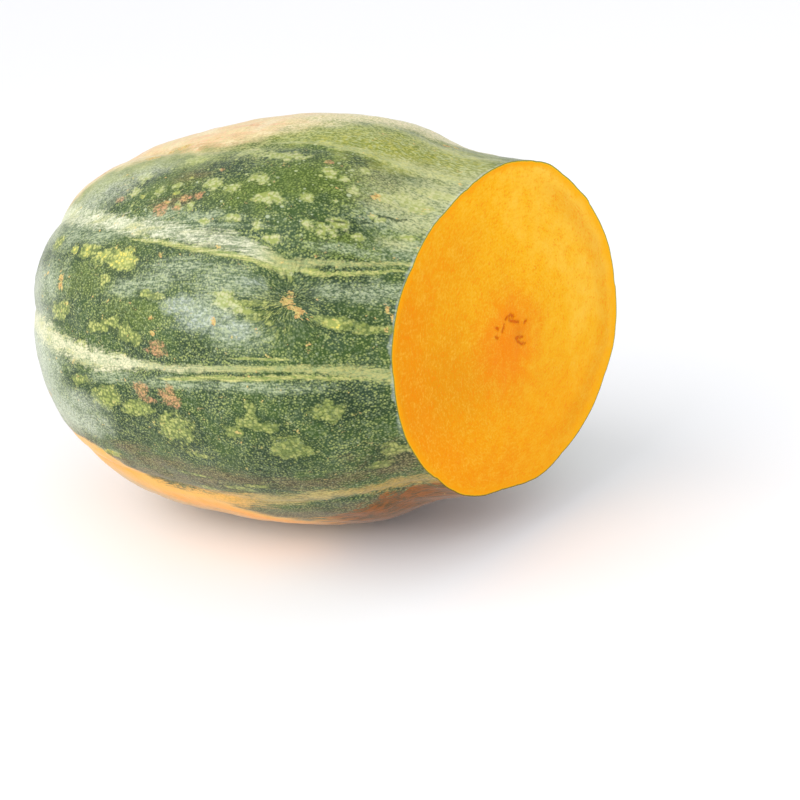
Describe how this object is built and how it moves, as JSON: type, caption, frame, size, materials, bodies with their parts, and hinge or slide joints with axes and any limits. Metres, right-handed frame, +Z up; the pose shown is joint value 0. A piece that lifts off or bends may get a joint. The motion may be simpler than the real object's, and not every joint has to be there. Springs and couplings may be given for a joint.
{
  "type": "cut winter squash",
  "caption": "Oblong ribbed winter squash lying on its side, its thick solid neck cut across to show flat bright flesh inside a thin dark speckled rind.",
  "frame": {"origin": "on the surface that the squash lies on, under the middle of its bounding box", "axes": "+Z up, +X along the squash towards the cut neck, -Y towards the side that the cut is turned to"},
  "size_m": [0.2592, 0.183, 0.1809],
  "materials": {
    "rind": "waxy dark green rind with pale specks and stripes, and matt orange-yellow flesh on the cut face"
  },
  "bodies": {
    "root": {"squash": "rind"}
  },
  "joints": []
}
